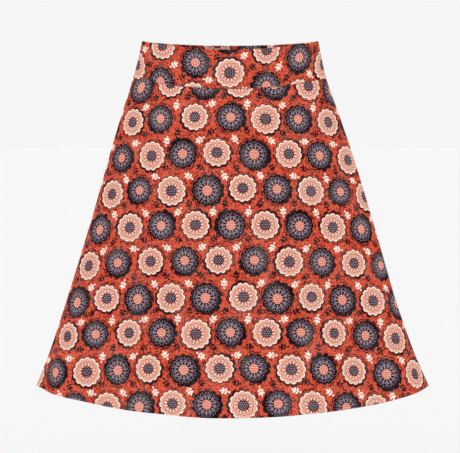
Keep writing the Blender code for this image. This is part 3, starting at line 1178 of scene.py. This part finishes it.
class SkirtCloth(PropertyGroup):
    """How the cloth is cut and sewn."""

    thickness: metres("Cloth", "Thickness of one layer of cloth", 0.0008, 0.0004, 0.001)
    hem_depth: metres("Hem", "Height of the turned hem", 0.02, 0.008, 0.05)
    fold_gap: metres("Hem gap", "Air inside the hem's fold", 0.0001, 0, 0.0005)
    band_wall: metres("Waistband", "Thickness of the doubled waistband", 0.0024, 0.002, 0.003)
    band_tail: metres("Band overlap", "How far the band's inside reaches below the seam", 0.008, 0.004, 0.015)
    allowance: metres("Seam allowance", "Width of the side seams' allowances", 0.01, 0.006, 0.02)
    thread_radius: metres("Thread", "Radius of the sewing threads", 0.00016, 0.0001, 0.0003)
    overlock_pitch: metres("Overlock pitch", "Length of one overlock stitch", 0.003, 0.002, 0.005)
    overlock_width: metres("Overlock width", "Width of the overlock stitches", 0.004, 0.003, 0.006)
    columns: IntProperty(
        name="Columns", description="Columns of cloth across a half", default=241, min=41, max=281
    )
    panel_rows: IntProperty(
        name="Rows", description="Rows of cloth down a panel", default=150, min=40, max=170
    )


class SkirtPrint(PropertyGroup):
    """The printed flowers and the cloth's finish."""

    across: metres("Flower spacing", "From one flower to the next in a row", 0.062, 0.055, 0.12)
    down: metres("Row spacing", "From one row of flowers to the next", 0.0625, 0.055, 0.12)
    radius: metres("Flower radius", "Radius of a flower head", 0.0252, 0.01, 0.026)
    petals: IntProperty(name="Petals", description="Petals of a flower head", default=13, min=5, max=21)
    coral: tint("Coral", "Ground of the print", "E35438")
    brick: tint("Brick", "Mottled patches of the ground", "AF3123")
    orange: tint("Orange", "Light flecks of the ground", "EE7E5A")
    cream: tint("Cream", "Light rims and leaves", "FFECDC")
    peach: tint("Peach", "Light petals", "F2B49C")
    salmon: tint("Salmon", "Light flowers towards the middle", "D96A52")
    charcoal: tint("Charcoal", "Dark petals", "260F20")
    grey: tint("Grey", "Dashes of the dark flowers", "BAA3AF")
    night: tint("Night", "Darkest rims and leaves", "160714")
    maroon: tint("Maroon", "Outlines and scribbles", "3A0A10")
    wrong_side: tint("Wrong side", "The unprinted cloth", "E9BFAE")
    fading: portion("Wrong side fading", "How far the print is lost on the wrong side", 0.62)
    roughness: portion("Roughness", "Roughness of the cloth", 0.88)
    sheen: portion("Sheen", "Soft sheen of the cloth's fibres", 0.012)
    weave_pitch: metres("Weave pitch", "From one thread of the weave to the next", 0.0007, 0.0003, 0.002)
    thread: tint("Thread", "Sewing thread", "E8A48C")


class SkirtStage(PropertyGroup):
    """The studio that the skirt is shown in."""

    distance: metres("Camera distance", "From the camera to the skirt's waist, level", 2.9, 1.5, 6)
    camera_drop: metres("Camera drop", "How far the camera is below the waist's middle", 0.117, -1, 1)
    pitch: FloatProperty(
        name="Camera pitch", description="How far the camera looks down",
        default=math.radians(3.607), min=-0.5, max=0.5, subtype="ANGLE",
    )
    lens: FloatProperty(
        name="Lens", description="Focal length in millimetres", default=126.09, min=50, max=200
    )
    floor: metres("Floor", "How far the floor is below the waist's middle", 1.0, 0.7, 2)
    backdrop: FloatProperty(
        name="Backdrop", description="Brightness of the studio around the skirt",
        default=0.92, min=0, max=2, subtype="FACTOR",
    )
    key: FloatProperty(
        name="Main light", description="Strength of the soft light from above the camera",
        default=0.7, min=0, max=5,
    )


# ---------------------------------------------------------------- operators


def mix_paints(design):
    """The cloth's right side and wrong side, and the sewing thread, made once."""
    made = bpy.data.materials
    if "printed_cotton" not in made:
        cloth_paint("printed_cotton", design, 0)
        cloth_paint("printed_cotton_wrong_side", design, design.fading)
        thread_paint("sewing_thread", design.thread)
    return [made["printed_cotton"], made["printed_cotton_wrong_side"]], made["sewing_thread"]


def declare(piece, flat, threads):
    """Attach a cloth piece and its threads to the root."""
    for part in (piece, *threads):
        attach(part, ROOT)
    flat = tuple(float(side) for side in flat)


class SKIRT_OT_panels(Operator):
    """Sew the front and back panels with their turned hems"""

    bl_idname = "skirt.sew_panels"
    bl_label = "Sew the panels"

    def execute(self, context):
        cloth = context.scene.skirt_cloth
        sides, thread = mix_paints(context.scene.skirt_print)
        hem_top = SIDE_LENGTH - cloth.hem_depth
        step = cloth.thickness + cloth.fold_gap
        inside = -cloth.thickness - step - cloth.thread_radius / 2
        catch = StitchRow(pitch=0.007, length=0.0016, fall=-0.0024, climb=step)
        for half in HALVES:
            piece, flat, area = sew_panel(half, cloth, sides)
            bed = thread_bed(half, hem_top, inside, panel_rise)
            edge = overlock("hem_overlock_" + half.name, half, hem_top, 1, bed, cloth, thread)
            seam = stitches("hem_stitches_" + half.name, half, hem_top, bed, catch, cloth, thread)
            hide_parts("panel_" + half.name)
            declare(piece, flat, [edge, seam])
        return {"FINISHED"}


class SKIRT_OT_waistband(Operator):
    """Sew the doubled front and back waistband pieces"""

    bl_idname = "skirt.sew_waistband"
    bl_label = "Sew the waistband"

    def execute(self, context):
        cloth = context.scene.skirt_cloth
        sides, thread = mix_paints(context.scene.skirt_print)
        tail = WAISTBAND_HEIGHT + cloth.band_tail
        inside = WAISTBAND_PROUD - cloth.band_wall - 2 * cloth.thickness - cloth.thread_radius / 2
        ditch = StitchRow(pitch=0.0028, length=0.0011, fall=0, climb=0)
        for half in HALVES:
            piece, flat, area = sew_band(half, cloth, sides)
            bed = thread_bed(half, tail, inside, band_rise)
            edge = overlock("band_overlock_" + half.name, half, tail, -1, bed, cloth, thread)
            bed = thread_bed(half, WAISTBAND_HEIGHT, inside, band_rise)
            seam = stitches("band_stitches_" + half.name, half, WAISTBAND_HEIGHT, bed, ditch, cloth, thread)
            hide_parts("waistband_" + half.name)
            declare(piece, flat, [edge, seam])
        return {"FINISHED"}


class SKIRT_OT_allowances(Operator):
    """Sew the side seams' allowances, both pressed towards the back"""

    bl_idname = "skirt.sew_allowances"
    bl_label = "Sew the side seam allowances"

    def execute(self, context):
        cloth = context.scene.skirt_cloth
        sides, thread = mix_paints(context.scene.skirt_print)
        for side, side_name in ((-1, "left"), (1, "right")):
            edge = seam_overlock(side, cloth, thread)
            for layer, half in ((1, HALVES[1]), (2, HALVES[0])):
                name = "seam_allowance_" + half.name + "_" + side_name
                piece, flat, area = sew_allowance(name, side, layer, cloth, sides)
                declare(piece, flat, [edge] if layer == 2 else [])
        return {"FINISHED"}


FLOOR_REACH = 60.0
FLOOR_SHADES = (0.85, 0.85, 0.85), (0.87, 0.87, 0.87)
FLOOR_GRAIN = 3.0  # blotches a metre
LIGHT_ANGLE = math.radians(50)  # how wide the soft light is
LIGHT_TURN = (math.radians(42), 0, math.radians(-6))
SENSOR_WIDTH = 36


class SKIRT_OT_stage(Operator):
    """Set up the floor, the soft light and the camera"""

    bl_idname = "skirt.light_stage"
    bl_label = "Light the stage"

    def execute(self, context):
        stage = context.scene.skirt_stage
        corners = FLOOR_REACH * np.array([(-1, -1, 0), (1, -1, 0), (1, 1, 0), (-1, 1, 0)])
        floor = mesh_object("floor", corners, [(0, 1, 2, 3)])
        floor.location.z = -stage.floor
        shader = Shader("studio_floor", 0.9, 0)
        shade = shader.mixed(shader.grain(FLOOR_GRAIN), *FLOOR_SHADES)
        floor.data.materials.append(shader.finish(shade))

        world = bpy.data.worlds.new("studio")
        world.use_nodes = True
        background = world.node_tree.nodes["Background"]
        background.inputs["Color"].default_value = (1, 1, 1, 1)
        background.inputs["Strength"].default_value = stage.backdrop
        context.scene.world = world

        light = bpy.data.lights.new("soft_light", "SUN")
        light.energy = stage.key
        light.angle = LIGHT_ANGLE
        lamp = bpy.data.objects.new("soft_light", light)
        lamp.rotation_euler = LIGHT_TURN
        context.scene.collection.objects.link(lamp)

        lens = bpy.data.cameras.new("camera")
        lens.sensor_fit = "HORIZONTAL"
        lens.sensor_width = SENSOR_WIDTH
        lens.lens = stage.lens
        camera = bpy.data.objects.new("camera", lens)
        camera.location = (0, -stage.distance, -stage.camera_drop)
        camera.rotation_euler = (math.radians(90) - stage.pitch, 0, 0)
        context.scene.collection.objects.link(camera)
        context.scene.camera = camera
        context.scene.view_settings.view_transform = "Standard"
        return {"FINISHED"}


class SKIRT_PT_sewing(Panel):
    """Buttons and settings of the skirt"""

    bl_label = "A-line skirt"
    bl_idname = "SKIRT_PT_sewing"
    bl_space_type = "VIEW_3D"
    bl_region_type = "UI"
    bl_category = "Skirt"

    def draw(self, context):
        for step in OPERATORS:
            self.layout.operator(step.bl_idname)
        for group in (context.scene.skirt_cloth, context.scene.skirt_print, context.scene.skirt_stage):
            box = self.layout.box()
            for name in group.__annotations__:
                box.prop(group, name)


OPERATORS = [SKIRT_OT_panels, SKIRT_OT_waistband, SKIRT_OT_allowances, SKIRT_OT_stage]
GROUPS = {"skirt_cloth": SkirtCloth, "skirt_print": SkirtPrint, "skirt_stage": SkirtStage}


def register():
    """Make the settings, the operators and the sidebar panel known."""
    for name, group in GROUPS.items():
        bpy.utils.register_class(group)
        setattr(bpy.types.Scene, name, PointerProperty(type=group))
    for step in OPERATORS:
        bpy.utils.register_class(step)
    bpy.utils.register_class(SKIRT_PT_sewing)


def unregister():
    """Take them away again."""
    bpy.utils.unregister_class(SKIRT_PT_sewing)
    for step in OPERATORS:
        bpy.utils.unregister_class(step)
    for name, group in GROUPS.items():
        delattr(bpy.types.Scene, name)
        bpy.utils.unregister_class(group)


def main():
    """Sew the skirt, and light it."""
    register()
    bpy.ops.skirt.sew_panels()
    bpy.ops.skirt.sew_waistband()
    bpy.ops.skirt.sew_allowances()
    bpy.ops.skirt.light_stage()


if __name__ == "__main__":
    main()
